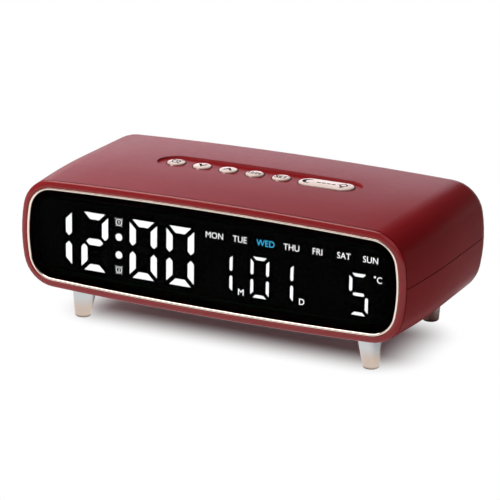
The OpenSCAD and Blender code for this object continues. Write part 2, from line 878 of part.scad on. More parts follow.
// Outline of half a button from its axis: cap, flange and the edge roundings, with z from the cap's top
function button_profile(r) = [
  [0, 0], [r - 0.9, 0], [r - 0.45, -0.1], [r - 0.12, -0.35], [r, -0.75],
  [r, flange_z - cap_z], [r + flange_w, flange_z - cap_z],
  [r + flange_w, flange_z - flange_t - cap_z], [0, flange_z - flange_t - cap_z]
];

module stem(x) {
  translate([x, 0, plunger_z])
    cylinder(d = stem_d, h = flange_z - flange_t - plunger_z + 0.4);
}

// A round button, with a rib in front that keeps it from turning in its hole
module round_button(k) {
  color([0.88, 0.8, 0.7]) {
    translate([button_xs[k], 0, cap_z])
      rotate_extrude()
        polygon(button_profile(button_d / 2));
    translate([button_xs[k] - key_rib_w / 2, -button_d / 2 - key_rib_l, flange_z - flange_t])
      cube([key_rib_w, button_d / 2, cap_z - 0.8 - flange_z + flange_t]);
    stem(button_xs[k]);
  }
}

module plunger(x) {
  color([0.6, 0.58, 0.5])
    translate([x, 0, plunger_z - plunger_l])
      cylinder(d = plunger_d, h = plunger_l);
}

module alarm_button() { round_button(0); }
module down_button() { round_button(1); }
module up_button() { round_button(2); }
module mode_button() { round_button(3); }
module set_button() { round_button(4); }
module alarm_plunger() { plunger(button_xs[0]); }
module down_plunger() { plunger(button_xs[1]); }
module up_plunger() { plunger(button_xs[2]); }
module mode_plunger() { plunger(button_xs[3]); }
module set_plunger() { plunger(button_xs[4]); }
module snooze_plunger() { plunger(snooze_x); }

module snooze_button() {
  half = (snooze_l - snooze_w) / 2;
  p = button_profile(snooze_w / 2);
  n = len(p);
  color([0.88, 0.8, 0.7]) {
    translate([snooze_x, 0, cap_z]) {
      for (s = [0, 180])
        rotate(s)
          translate([half, 0, 0])
            rotate(-90)
              rotate_extrude(angle = 180)
                polygon(p);
      translate([-half, 0, 0])
        rotate([90, 0, 90])
          linear_extrude(2 * half)
            polygon(concat([for (i = [1 : n - 2]) p[i]],
              [for (i = [n - 2 : -1 : 1]) [-p[i][0], p[i][1]]]));
    }
    stem(snooze_x);
  }
}

// Flat cable from the key board down to the display board
module key_ribbon() {
  y0 = front_y + board_back + 4;
  y1 = -key_w / 2 + 4;
  z0 = mid_z + 6.5;
  z1 = key_bottom - 4;
  color([0.75, 0.75, 0.78])
    translate([key_c - 4.5, 0, 0])
      rotate([90, 0, 90])
        linear_extrude(9)
          polygon([[y0, z0], [y1 - 4, z0 - 2], [y1 + 0.5, z0 + 1], [y1 + 0.5, z1], [y1 - 0.5, z1],
                   [y1 - 0.5, z0 + 1.6], [y1 - 4.4, z0 - 1], [y0, z0 + 1]]);
}

// Flat two-core leads from the floor up to the display board
module lead_strips() {
  y0 = front_y + board_back + 4;
  z0 = mid_z - 17.5;
  color([0.2, 0.2, 0.2]) {
    lead(buzzer_x, y0, z0, buzzer_y - buzzer_d / 2 + 3, buzzer_z + buzzer_h);
    lead(sensor_x, y0, z0, sensor_y - 1, sensor_z + 4.6);
    lead(0, y0, z0, door_y - 6, vault_top);
    lead(socket_x, y0, z0, socket_board_y + 1.4, socket_top);
  }
}

module lead(x, y0, z0, y1, z1) {
  top = z1 + 2.5;
  translate([x - 1.4, 0, 0])
    rotate([90, 0, 90])
      linear_extrude(2.8)
        polygon([[y0, z0], [y0 + 3, z0], [y1 - 3, top - 1], [y1 - 0.6, top - 1], [y1 - 0.6, z1],
                 [y1 + 0.6, z1], [y1 + 0.6, top], [y1 - 3.4, top], [y0 + 2.6, z0 + 1.1],
                 [y0, z0 + 1.1]]);
}

// Leaning cone of a foot, grown by a clearance, with a straight end in the case
module foot_cone(extra) {
  tip = foot_tip_d / 2;
  low = pad_rise - tip * sin(foot_lean);
  intersection() {
    translate([foot_x, 0, 0])
      rotate([0, -foot_lean, 0])
        rotate_extrude()
          polygon([
            [0, low], [tip - tip_r + extra, low],
            for (a = [-60 : 30 : -30])
              [tip - tip_r + extra + tip_r * cos(a), low + tip_r + tip_r * sin(a)],
            [tip + extra, low + tip_r], [foot_top_d / 2 + extra, ground_gap],
            [foot_top_d / 2 + extra, foot_seat + 2], [0, foot_seat + 2]
          ]);
    translate([foot_x - 20, -20, pad_rise])
      cube([40, 40, foot_seat - pad_rise]);
  }
}

module feet() {
  color([0.75, 0.73, 0.7])
    for (y = foot_ys)
      left_right()
        translate([0, y, 0])
          difference() {
            foot_cone(0);
            translate([foot_x, 0, -1])
              cylinder(d = pad_d, h = 1 + pad_t);
            translate([seat_x, 0, foot_seat - foot_screw_l])
              cylinder(d = case_d_screw, h = foot_screw_l + 1);
          }
}

module foot_pads() {
  color([0.12, 0.12, 0.12])
    for (y = foot_ys)
      left_right()
        translate([foot_x, y, 0])
          cylinder(d = pad_d, h = pad_t);
}

module foot_screws() {
  color([0.7, 0.7, 0.72])
    for (y = foot_ys)
      left_right()
        translate([seat_x, y, foot_boss])
          rotate([180, 0, 0])
            screw(case_d_screw, foot_boss - foot_seat + foot_screw_l - 0.5, case_head, case_head_h);
}

module case_screws() {
  color([0.7, 0.7, 0.72])
    for (y = screw_ys)
      left_right()
        translate([screw_x, y, case_seat])
          screw(case_d_screw, seam_z - case_seat + case_grip, case_head, case_head_h);
}

module power_socket() {
  color([0.72, 0.72, 0.75])
    translate([socket_x, socket_mouth - socket_l, socket_z])
      rotate([-90, 0, 0])
        translate([0, -socket_h / 2, 0])
          difference() {
            slot_bar(socket_w, socket_h, socket_l);
            translate([0, socket_t, 1])
              slot_bar(socket_w - 2 * socket_t, socket_h - 2 * socket_t, socket_l);
          }
}

module socket_tongue() {
  color([0.1, 0.1, 0.1])
    translate([socket_x - 3.3, socket_mouth - socket_l + 1, socket_z - 0.35])
      cube([6.6, 5, 0.7]);
}

module socket_board() {
  color([0.1, 0.35, 0.2])
    difference() {
      translate([socket_x - socket_board_w / 2, socket_board_y, socket_top - socket_board_t])
        cube([socket_board_w, socket_board_l, socket_board_t]);
      for (s = [-1, 1])
        translate([socket_x + s * socket_post_x, socket_post_y, socket_top - 5])
          cylinder(d = small_d + screw_slip, h = 10);
    }
}

module socket_screws() {
  color([0.7, 0.7, 0.72])
    for (s = [-1, 1])
      translate([socket_x + s * socket_post_x, socket_post_y, socket_top])
        rotate([180, 0, 0])
          screw(small_d, 6, small_head, small_head_h);
}

module buzzer() {
  color([0.1, 0.1, 0.1])
    translate([buzzer_x, buzzer_y, buzzer_z])
      difference() {
        cylinder(d = buzzer_d, h = buzzer_h);
        translate([0, 0, -1])
          cylinder(d = 2.4, h = 3);
      }
}

module temperature_sensor() {
  color([0.1, 0.1, 0.1])
    translate([sensor_x, sensor_y, sensor_z])
      difference() {
        cylinder(d = 4.6, h = 4.6);
        translate([-5, 1.2, -1])
          cube([10, 5, 8]);
      }
}

module backup_cell() {
  color([0.8, 0.8, 0.82])
    translate([0, door_y, cell_z]) {
      cylinder(d = cell_dia, h = cell_t * 0.85);
      translate([0, 0, cell_t * 0.85])
        cylinder(d = cell_dia * 0.88, h = cell_t * 0.15);
    }
}

module cell_contacts() {
  color([0.8, 0.75, 0.55]) {
    translate([-3, door_y - 7, pocket_z - contact_t])
      cube([6, 14, contact_t]);
    translate([-3, door_y + cell_dia / 2, seat_z + 0.4])
      cube([6, 0.6, pocket_z - seat_z - 0.4]);
  }
}

module cell_door() {
  color([0.5, 0.1, 0.12])
    difference() {
      translate([-door_l / 2, door_y - door_w / 2, door_top - door_t])
        cube([door_l, door_w, door_t]);
      for (s = [-1, 1])
        translate([s * door_screw_x, door_y, 0]) {
          cylinder(d = small_head + 0.2, h = door_top - 0.8);
          cylinder(d = small_d + screw_slip, h = door_top + 1);
        }
    }
}

module door_screws() {
  color([0.7, 0.7, 0.72])
    for (s = [-1, 1])
      translate([s * door_screw_x, door_y, door_top - 0.8])
        screw(small_d, vault_top - door_top - 1.4, small_head, small_head_h - 0.4);
}

upper_shell();
lower_shell();
front_frame();
bezel_trim();
display_lens();
legend_film();
lamp_housing();
lit_time_segments();
dark_time_segments();
lit_date_segments();
dark_date_segments();
colon_dots();
display_lamps();
display_board();
driver_chip();
board_connectors();
display_screws();
key_board();
key_screws();
key_switches();
alarm_button();
alarm_plunger();
down_button();
down_plunger();
up_button();
up_plunger();
mode_button();
mode_plunger();
set_button();
set_plunger();
snooze_button();
snooze_plunger();
key_ribbon();
lead_strips();
feet();
foot_pads();
foot_screws();
case_screws();
power_socket();
socket_tongue();
socket_board();
socket_screws();
buzzer();
temperature_sensor();
backup_cell();
cell_contacts();
cell_door();
door_screws();
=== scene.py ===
"""Looks of the digital alarm clock: materials, printed signs, floor, light and camera."""
import math

import bmesh
import bpy
from mathutils import Matrix, Vector


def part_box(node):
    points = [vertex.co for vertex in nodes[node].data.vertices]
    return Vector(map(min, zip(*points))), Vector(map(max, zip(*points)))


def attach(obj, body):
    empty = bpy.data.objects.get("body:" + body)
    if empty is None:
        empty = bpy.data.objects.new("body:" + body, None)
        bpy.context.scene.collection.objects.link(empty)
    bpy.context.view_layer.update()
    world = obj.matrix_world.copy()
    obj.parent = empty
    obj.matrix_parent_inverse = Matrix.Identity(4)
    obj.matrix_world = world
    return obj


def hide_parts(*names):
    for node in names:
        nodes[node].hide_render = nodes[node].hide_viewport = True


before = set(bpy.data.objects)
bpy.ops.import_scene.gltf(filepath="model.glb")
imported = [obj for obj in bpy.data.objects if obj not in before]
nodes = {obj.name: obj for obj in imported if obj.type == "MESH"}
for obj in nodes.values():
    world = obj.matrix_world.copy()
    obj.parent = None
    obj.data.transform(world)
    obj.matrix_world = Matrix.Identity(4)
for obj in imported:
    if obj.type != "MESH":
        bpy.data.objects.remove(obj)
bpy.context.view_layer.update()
MM = 0.001


def corners(node):
    """Lowest and highest corner of a node, in millimetres."""
    return [[length / MM for length in corner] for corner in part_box(node)]


# Planes of the face, the film, the button tops and the recess, and the buttons' middles, in millimetres
RECESS_DEPTH = 1.5
FACE_LOW, FACE_HIGH = corners("front_frame")
FILM_LOW, FILM_HIGH = corners("legend_film")
FRONT_Y = FACE_LOW[1]
MID_Z = (FACE_LOW[2] + FACE_HIGH[2]) / 2
FILM_FRONT = FILM_LOW[1]
FILM_BACK = FILM_HIGH[1]
CAP_Z = corners("alarm_button")[1][2]
RECESS_Z = corners("upper_shell")[1][2] - RECESS_DEPTH
ROUND_BUTTONS = ["alarm", "down", "up", "mode", "set"]
BUTTONS = ROUND_BUTTONS + ["snooze"]
BUTTON_XS = {}
for name in BUTTONS:
    low, high = corners(name + "_button")
    BUTTON_XS[name] = (low[0] + high[0]) / 2


# Colours
def srgb(red, green, blue):
    """Linear colour of an sRGB colour given in 0 to 255."""
    def linear(level):
        level = level / 255.0
        return level / 12.92 if level <= 0.04045 else ((level + 0.055) / 1.055) ** 2.4
    return (linear(red), linear(green), linear(blue), 1.0)


def grey(level):
    return (level, level, level, 1.0)


def shade(colour, factor):
    """A darker or lighter colour."""
    return tuple(min(1.0, part * factor) for part in colour[:3]) + (1.0,)


# Shader helpers
NOISE_LOW = 0.3   # the middle range of a noise texture
NOISE_HIGH = 0.7
# Sockets of a mix node for each kind of data: both inputs and the result
MIX_SOCKETS = {"FLOAT": (2, 3, 0), "RGBA": (6, 7, 2)}


def new_material(name):
    """A material with one plain shader."""
    mat = bpy.data.materials.new(name)
    mat.use_nodes = True
    tree = mat.node_tree
    tree.nodes.clear()
    out = tree.nodes.new("ShaderNodeOutputMaterial")
    bsdf = tree.nodes.new("ShaderNodeBsdfPrincipled")
    tree.links.new(bsdf.outputs["BSDF"], out.inputs["Surface"])
    return mat, tree, bsdf


def feed(tree, socket, value):
    """Links another node's output to a socket, or sets a plain value on it."""
    if isinstance(value, bpy.types.NodeSocket):
        tree.links.new(value, socket)
    else:
        socket.default_value = value


def coords(tree, stretch=None):
    """Object coordinates in metres, stretched if asked."""
    where = tree.nodes.new("ShaderNodeTexCoord").outputs["Object"]
    if stretch is None:
        return where
    mapping = tree.nodes.new("ShaderNodeMapping")
    mapping.inputs["Scale"].default_value = stretch
    tree.links.new(where, mapping.inputs["Vector"])
    return mapping.outputs["Vector"]


def axes(tree, vector):
    """The outputs X, Y and Z of a vector."""
    node = tree.nodes.new("ShaderNodeSeparateXYZ")
    tree.links.new(vector, node.inputs[0])
    return node.outputs


def arithmetic(tree, operation, *values, kind="ShaderNodeMath"):
    """One step of arithmetic, on numbers or on vectors."""
    node = tree.nodes.new(kind)
    node.operation = operation
    for socket, value in zip(node.inputs, values):
        feed(tree, socket, value)
    return node.outputs["Value" if operation == "LENGTH" else 0]


def mapped(tree, value, points, levels, smooth=False):
    """Takes a value from between two points to between two levels."""
    node = tree.nodes.new("ShaderNodeMapRange")
    if smooth:
        node.interpolation_type = "SMOOTHSTEP"
    for key, number in zip(("From Min", "From Max", "To Min", "To Max"), points + levels):
        node.inputs[key].default_value = number
    tree.links.new(value, node.inputs["Value"])
    return node.outputs["Result"]


def mixed(tree, factor, first, second, kind="RGBA", blend="MIX"):
    """Goes from the first colour or number to the second as the factor rises."""
    node = tree.nodes.new("ShaderNodeMix")
    node.data_type = kind
    node.blend_type = blend
    first_at, second_at, result_at = MIX_SOCKETS[kind]
    feed(tree, node.inputs["Factor"], factor)
    feed(tree, node.inputs[first_at], first)
    feed(tree, node.inputs[second_at], second)
    return node.outputs[result_at]


def noise(tree, vector, scale, detail, rough):
    node = tree.nodes.new("ShaderNodeTexNoise")
    node.inputs["Scale"].default_value = scale
    node.inputs["Detail"].default_value = detail
    node.inputs["Roughness"].default_value = rough
    tree.links.new(vector, node.inputs["Vector"])
    return node.outputs["Fac"]


def ramp(tree, factor, stops):
    """Colours along a factor, from stops of a place and a colour."""
    node = tree.nodes.new("ShaderNodeValToRGB")
    elements = node.color_ramp.elements
    for element, stop in zip((elements[0], elements[1]), (stops[0], stops[-1])):
        element.position, element.color = stop
    for position, colour in stops[1:-1]:
        elements.new(position).color = colour
    tree.links.new(factor, node.inputs["Fac"])
    return node.outputs["Color"]


def clouded(tree, texture, dark, light):
    """Two colours that follow a noise texture."""
    return ramp(tree, texture, [(NOISE_LOW, dark), (NOISE_HIGH, light)])


def spread(tree, texture, levels):
    """Two levels that follow a noise texture."""
    return mapped(tree, texture, (NOISE_LOW, NOISE_HIGH), levels)


def bump(tree, height, strength, distance):
    node = tree.nodes.new("ShaderNodeBump")
    node.inputs["Strength"].default_value = strength
    node.inputs["Distance"].default_value = distance
    tree.links.new(height, node.inputs["Height"])
    return node.outputs["Normal"]


# Materials
GLOSS_FINENESS = 7     # a surface's gloss varies this much finer than its colour
TINT_HEIGHT = 0.02     # metres over which the feet change from the painted warm reflection to silver
RING_DEPTH = 0.00002   # metres
BLACK_FROM = 1.56      # millimetres behind the front of the frame
RECESS_HALF = 9.8      # millimetres from the middle to just outside the walls of the recess
WALLS_FROM = 0.05      # millimetres under the floor of the recess
UPRIGHT_BELOW = 0.5    # a face is upright if its normal rises less


def surface(name, colour, vary, patch, rough, metal=0.0, level=0.5, grain=None, stretch=None):
    """A moulded, painted or metal surface: clouded colour, uneven gloss and a fine grain.

    The patches and the grain are given by their scale, the grain also by its strength and depth in metres.
    """
    mat, tree, bsdf = new_material(name)
    where = coords(tree, stretch)
    cloud = noise(tree, where, patch, detail=4.0, rough=0.55)
    tint = clouded(tree, cloud, shade(colour, 1 - vary), shade(colour, 1 + vary))
    tree.links.new(tint, bsdf.inputs["Base Color"])
    fine = noise(tree, where, patch * GLOSS_FINENESS, detail=3.0, rough=0.6)
    tree.links.new(spread(tree, fine, rough), bsdf.inputs["Roughness"])
    bsdf.inputs["Metallic"].default_value = metal
    bsdf.inputs["Specular IOR Level"].default_value = level
    if grain:
        scale, strength, depth = grain
        dots = noise(tree, where, scale, detail=2.0, rough=0.5)
        tree.links.new(bump(tree, dots, strength, depth), bsdf.inputs["Normal"])
    return mat


def turned_metal(name, colour, warm, rough, pitch, strength):
    """Metal with the fine rings that a lathe leaves round the upright axis, with painted light at its lower
    end: a warm painted reflection, and a dark band of painted shade at the very foot.
    """
    mat, tree, bsdf = new_material(name)
    where = coords(tree)
    wave = tree.nodes.new("ShaderNodeTexWave")
    wave.wave_type = "BANDS"
    wave.bands_direction = "Z"
    wave.inputs["Scale"].default_value = 1.0 / (pitch * MM) / math.pi
    wave.inputs["Distortion"].default_value = 1.5
    wave.inputs["Detail"].default_value = 2.0
    tree.links.new(where, wave.inputs["Vector"])
    rings = wave.outputs["Fac"]
    height = mapped(tree, axes(tree, where)["Z"], (0.0, TINT_HEIGHT), (0.0, 1.0))
    # Painted light: painted shade at the very foot, then a warm painted reflection, then silver
    tint = ramp(tree, height, [(0.03, shade(warm, 0.3)), (0.09, warm), (0.28, warm), (0.55, colour)])
    cloud = clouded(tree, noise(tree, where, scale=120, detail=4.0, rough=0.6), grey(0.92), grey(1.0))
    tree.links.new(mixed(tree, 1.0, tint, cloud, blend="MULTIPLY"), bsdf.inputs["Base Color"])
    tree.links.new(spread(tree, rings, rough), bsdf.inputs["Roughness"])
    bsdf.inputs["Metallic"].default_value = 1.0
    tree.links.new(bump(tree, rings, strength, RING_DEPTH), bsdf.inputs["Normal"])
    return mat


def glowing(name, colour, strength, vary=0.04):
    """A lit diffuser or print, which glows a little unevenly."""
    mat, tree, bsdf = new_material(name)
    cloud = noise(tree, coords(tree), scale=180, detail=3.0, rough=0.5)
    tint = clouded(tree, cloud, shade(colour, 1 - vary), colour)
    tree.links.new(tint, bsdf.inputs["Emission Color"])
    tree.links.new(tint, bsdf.inputs["Base Color"])
    bsdf.inputs["Emission Strength"].default_value = strength
    bsdf.inputs["Roughness"].default_value = 0.5
    return mat


def smoked_clear():
    """Smoked clear plastic of the lens, with faint wiping marks in its gloss."""
    mat, tree, bsdf = new_material("smoked_lens")
    where = coords(tree, (1.0, 1.0, 6.0))
    cloud = noise(tree, where, scale=25, detail=4.0, rough=0.6)
    tint = clouded(tree, cloud, (0.39, 0.39, 0.40, 1), (0.41, 0.41, 0.42, 1))
    tree.links.new(tint, bsdf.inputs["Base Color"])
    wiping = noise(tree, where, scale=300, detail=3.0, rough=0.6)
    tree.links.new(spread(tree, wiping, (0.0, 0.02)), bsdf.inputs["Roughness"])
    bsdf.inputs["Transmission Weight"].default_value = 1.0
    bsdf.inputs["IOR"].default_value = 1.05
    return mat


def dark_film():
    """Dark film behind the lens, which lets part of the light through."""
    mat, tree, bsdf = new_material("dark_film")
    cloud = noise(tree, coords(tree), scale=900, detail=2.0, rough=0.5)
    tint = clouded(tree, cloud, (0.0012, 0.0012, 0.0015, 1), (0.002, 0.002, 0.0025, 1))
    tree.links.new(tint, bsdf.inputs["Base Color"])
    tree.links.new(spread(tree, cloud, (0.55, 0.7)), bsdf.inputs["Roughness"])
    bsdf.inputs["Specular IOR Level"].default_value = 0.05
    bsdf.inputs["Alpha"].default_value = 0.3
    return mat


def recolour(mat, mask, colour):
    """Gives a material another colour where the mask is 1."""
    tree = mat.node_tree
    bsdf = next(node for node in tree.nodes if node.type == "BSDF_PRINCIPLED")
    socket = bsdf.inputs["Base Color"]
    tree.links.new(mixed(tree, mask, socket.links[0].from_socket, colour), socket)


def black_behind(mat, depth):
    """Turns a material black behind a depth, for the seat of the lens."""
    tree = mat.node_tree
    deep = arithmetic(tree, "GREATER_THAN", axes(tree, coords(tree))["Y"], depth)
    recolour(mat, deep, grey(0.002))


def paint_light_on_walls(mat, colour):
    """Paints light on the upright walls of the recess: the paler red seen there stands in for the light that
    falls on them.
    """
    tree = mat.node_tree
    where = axes(tree, coords(tree))
    facing = axes(tree, tree.nodes.new("ShaderNodeNewGeometry").outputs["Normal"])
    raised = arithmetic(tree, "GREATER_THAN", where["Z"], (RECESS_Z - WALLS_FROM) * MM)
    near = arithmetic(tree, "LESS_THAN", arithmetic(tree, "ABSOLUTE", where["Y"]), RECESS_HALF * MM)
    upright = arithmetic(tree, "LESS_THAN", arithmetic(tree, "ABSOLUTE", facing["Z"]), UPRIGHT_BELOW)
    mask = arithmetic(tree, "MULTIPLY", arithmetic(tree, "MULTIPLY", raised, near), upright)
    recolour(mat, mask, colour)


CASE = surface("case_lacquer", (0.215, 0.0085, 0.0110, 1), vary=0.05, patch=45, rough=(0.28, 0.32),
               level=0.02, grain=(2600, 0.03, 0.00004))
# Painted light: the upright walls of the recess get a paler red for the light that falls on them
paint_light_on_walls(CASE, (0.42, 0.055, 0.06, 1))
FRAME = surface("frame_lacquer", (0.27, 0.0094, 0.0118, 1), vary=0.04, patch=60, rough=(0.15, 0.20),
                level=0.42, grain=(1500, 0.05, 0.00003))
black_behind(FRAME, (FRONT_Y + BLACK_FROM) * MM)
TRIM = surface("champagne_trim", (0.98, 0.81, 0.70, 1), vary=0.05, patch=200, rough=(0.14, 0.24), metal=1.0,
               grain=(4000, 0.08, 0.00002))
CREAM = surface("cream_plastic", srgb(220, 196, 185), vary=0.03, patch=150, rough=(0.3, 0.4),
                grain=(3000, 0.08, 0.00003))
# Dark ink for the marks on the buttons, also used for the rings of painted shade round them
INK_AND_SHADE = surface("dark_ink_and_shade", (0.010, 0.008, 0.008, 1), vary=0.2, patch=900, rough=(0.6, 0.75), level=0.02)
# The warm colour is a painted reflection on the lower end of the feet
FOOT = turned_metal("turned_foot", (0.60, 0.61, 0.62, 1), warm=(0.64, 0.52, 0.44, 1), rough=(0.24, 0.32),
                    pitch=0.35, strength=0.15)
RUBBER = surface("pad_rubber", (0.02, 0.02, 0.021, 1), vary=0.2, patch=500, rough=(0.75, 0.9),
                 grain=(4000, 0.4, 0.0001))
LENS = smoked_clear()
FILM = dark_film()
LIT = glowing("lit_diffuser", grey(1.0), strength=5.4)
PRINT = glowing("lit_print", grey(1.0), strength=2.9)
PRINT_BLUE = glowing("lit_print_blue", (0.05, 0.48, 0.80, 1), strength=2.7)
DARK = surface("dark_diffuser", (0.02, 0.02, 0.021, 1), vary=0.1, patch=300, rough=(0.5, 0.6), level=0.05)
HOUSING = surface("black_housing", (0.004, 0.004, 0.0045, 1), vary=0.2, patch=300, rough=(0.6, 0.8),
                  level=0.05, grain=(2500, 0.2, 0.00005))
LAMP = surface("lamp_resin", (0.85, 0.72, 0.35, 1), vary=0.1, patch=700, rough=(0.3, 0.4))
BOARD = surface("board_green", (0.012, 0.11, 0.035, 1), vary=0.25, patch=220, rough=(0.3, 0.42),
                grain=(1200, 0.2, 0.00004))
BLACK = surface("black_plastic", (0.013, 0.013, 0.014, 1), vary=0.2, patch=250, rough=(0.4, 0.55),
                grain=(2600, 0.2, 0.00005))
HEADER = surface("header_plastic", (0.72, 0.69, 0.60, 1), vary=0.05, patch=300, rough=(0.4, 0.5))
STEEL = surface("screw_steel", (0.60, 0.60, 0.62, 1), vary=0.12, patch=500, rough=(0.22, 0.38), metal=1.0,
                grain=(5000, 0.12, 0.00002))
CABLE = surface("cable_grey", (0.35, 0.36, 0.38, 1), vary=0.08, patch=200, rough=(0.5, 0.6),
                stretch=(9.0, 1.0, 1.0))
LEAD = surface("lead_black", (0.02, 0.02, 0.02, 1), vary=0.2, patch=200, rough=(0.5, 0.6))
SOCKET = surface("socket_steel", (0.68, 0.68, 0.70, 1), vary=0.1, patch=600, rough=(0.2, 0.32), metal=1.0)
CELL = surface("cell_steel", (0.72, 0.71, 0.69, 1), vary=0.06, patch=300, rough=(0.18, 0.28), metal=1.0,
               stretch=(1.0, 8.0, 1.0))
BRASS = surface("contact_brass", (0.70, 0.52, 0.24, 1), vary=0.1, patch=500, rough=(0.25, 0.38), metal=1.0)
PLUNGER = surface("plunger_plastic", (0.03, 0.03, 0.032, 1), vary=0.15, patch=500, rough=(0.4, 0.5))

FINISHES = {
    CASE: ["upper_shell", "lower_shell", "cell_door"],
    FRAME: ["front_frame"],
    TRIM: ["bezel_trim"],
    LENS: ["display_lens"],
    FILM: ["legend_film"],
    HOUSING: ["lamp_housing"],
    LIT: ["lit_time_segments", "lit_date_segments", "colon_dots"],
    DARK: ["dark_time_segments", "dark_date_segments"],
    LAMP: ["display_lamps"],
    BOARD: ["display_board", "key_board", "socket_board"],
    BLACK: ["driver_chip", "key_switches", "socket_tongue", "buzzer", "temperature_sensor"],
    HEADER: ["board_connectors"],
    STEEL: ["display_screws", "key_screws", "foot_screws", "case_screws", "socket_screws", "door_screws"],
    CREAM: [name + "_button" for name in BUTTONS],
    PLUNGER: [name + "_plunger" for name in BUTTONS],
    CABLE: ["key_ribbon"],
    LEAD: ["lead_strips"],
    FOOT: ["feet"],
    RUBBER: ["foot_pads"],
    SOCKET: ["power_socket"],
    CELL: ["backup_cell"],
    BRASS: ["cell_contacts"],
}

ROUND_ANGLE = 28         # degrees between faces that are shaded as one
JOIN_REACH = 0.000004    # metres between corners that are joined for the shading


def smoothing():
    """Geometry nodes that join the faces of a solid and round its shading up to an angle."""
    group = bpy.data.node_groups.new("round_shading", "GeometryNodeTree")
    for way in ("INPUT", "OUTPUT"):
        group.interface.new_socket(name="Geometry", in_out=way, socket_type="NodeSocketGeometry")
    start = group.nodes.new("NodeGroupInput")
    end = group.nodes.new("NodeGroupOutput")
    plain = group.nodes.new("GeometryNodeRemoveAttribute")
    plain.inputs["Name"].default_value = "custom_normal"
    join = group.nodes.new("GeometryNodeMergeByDistance")
    join.inputs["Distance"].default_value = JOIN_REACH
    faces = group.nodes.new("GeometryNodeSetShadeSmooth")
    faces.domain = "FACE"
    edges = group.nodes.new("GeometryNodeSetShadeSmooth")
    edges.domain = "EDGE"
    angle = group.nodes.new("GeometryNodeInputMeshEdgeAngle")
    below = group.nodes.new("FunctionNodeCompare")
    below.data_type = "FLOAT"
    below.operation = "LESS_THAN"
    below.inputs["B"].default_value = math.radians(ROUND_ANGLE)
    chain = [start, plain, join, faces, edges, end]
    for giver, taker in zip(chain, chain[1:]):
        group.links.new(giver.outputs["Geometry"], taker.inputs["Geometry"])
    group.links.new(angle.outputs["Unsigned Angle"], below.inputs["A"])
    group.links.new(below.outputs["Result"], edges.inputs["Shade Smooth"])
    return group


ROUND = smoothing()
for material, names in FINISHES.items():
    for name in names:
        obj = nodes[name]
        obj.data.materials.clear()
        obj.data.materials.append(material)
        obj.modifiers.new("round_shading", "NODES").node_group = ROUND


# Printed signs: flat shapes from bars, rings and letters, in millimetres
SAME_POINT = 0.0005    # millimetres between points that are joined


def around(centre, radius, degrees):
    """The point at a radius and an angle from a centre."""
    turn = math.radians(degrees)
    return (centre[0] + radius * math.cos(turn), centre[1] + radius * math.sin(turn))


def arc(centre, radius, start, end, steps):
    """Points along an arc between two angles."""
    return [around(centre, radius, start + (end - start) * k / steps) for k in range(steps + 1)]


class Sign:
    """Collects flat shapes and turns them into one thin solid."""

    def __init__(self, name):
        self.name = name
        self.shapes = []
        self.words = []

    def fill(self, points):
        self.shapes.append([tuple(point) for point in points])
        return self

    def bar(self, start, end, width):
        first, last = Vector(start), Vector(end)
        side = (last - first).normalized().orthogonal() * width / 2
        return self.fill([first + side, last + side, last - side, first - side])

    def ring(self, centre, radius, width, start=0, end=360, steps=40):
        outer = arc(centre, radius, start, end, steps)
        inner = arc(centre, radius - width, start, end, steps)
        for k in range(steps):
            self.fill([outer[k], outer[k + 1], inner[k + 1], inner[k]])
        return self

    def word(self, text, centre, height, bold=0.0, squeeze=1.0):
        self.words.append((text, centre, height, bold, squeeze))
        return self

    def build(self, spot, thick, material, slot, body):
        """Lifts the shapes by thick and puts each point where spot says."""
        shape = bmesh.new()
        for points in self.shapes:
            pairs = zip(points, points[1:] + points[:1])
            if sum(a[0] * b[1] - b[0] * a[1] for a, b in pairs) < 0:
                points = points[::-1]
            shape.faces.new([shape.verts.new((x, y, 0)) for x, y in points])
        for word in self.words:
            add_word(shape, *word)
        bmesh.ops.remove_doubles(shape, verts=shape.verts, dist=SAME_POINT)
        flat = list(shape.faces)
        lifted = bmesh.ops.extrude_face_region(shape, geom=flat)
        for item in lifted["geom"]:
            if isinstance(item, bmesh.types.BMVert):
                item.co.z += thick
        bmesh.ops.reverse_faces(shape, faces=[face for face in flat if face.is_valid])
        for vert in shape.verts:
            vert.co = Vector(spot(vert.co.x, vert.co.y, vert.co.z)) * MM
        mesh = bpy.data.meshes.new(self.name)
        shape.to_mesh(mesh)
        shape.free()
        mesh.materials.append(material)
        obj = bpy.data.objects.new(self.name, mesh)
        bpy.context.scene.collection.objects.link(obj)
        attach(obj, body)


def add_word(shape, text, centre, height, bold, squeeze):
    """Adds the built-in letters' outlines, with their caps at the asked height."""
    curve = bpy.data.curves.new("word", "FONT")
    curve.body = text
    curve.size = 1.0
    curve.resolution_u = 4
    curve.offset = bold
    holder = bpy.data.objects.new("word", curve)
    bpy.context.scene.collection.objects.link(holder)
    graph = bpy.context.evaluated_depsgraph_get()
    mesh = bpy.data.meshes.new_from_object(holder.evaluated_get(graph))
    low = [min(vert.co[i] for vert in mesh.vertices) for i in (0, 1)]
    high = [max(vert.co[i] for vert in mesh.vertices) for i in (0, 1)]
    size = height / (high[1] - low[1])
    for vert in mesh.vertices:
        vert.co.x = (vert.co.x - (low[0] + high[0]) / 2) * size * squeeze + centre[0]
        vert.co.y = (vert.co.y - (low[1] + high[1]) / 2) * size + centre[1]
        vert.co.z = 0.0
    shape.from_mesh(mesh)
    bpy.data.objects.remove(holder)
    bpy.data.curves.remove(curve)
    bpy.data.meshes.remove(mesh)


# Parts of the alarm clock and of the moon, in radii, and the bells' angles from the top, in degrees
BELL_RADIUS = 1.48
BELL_START = 33
BELL_END = 55
LEG_TOP = (0.72, -0.88)
LEG_TOE = (0.94, -1.2)
HOLLOW_SHIFT = 0.42
HOLLOW_RADIUS = 0.79


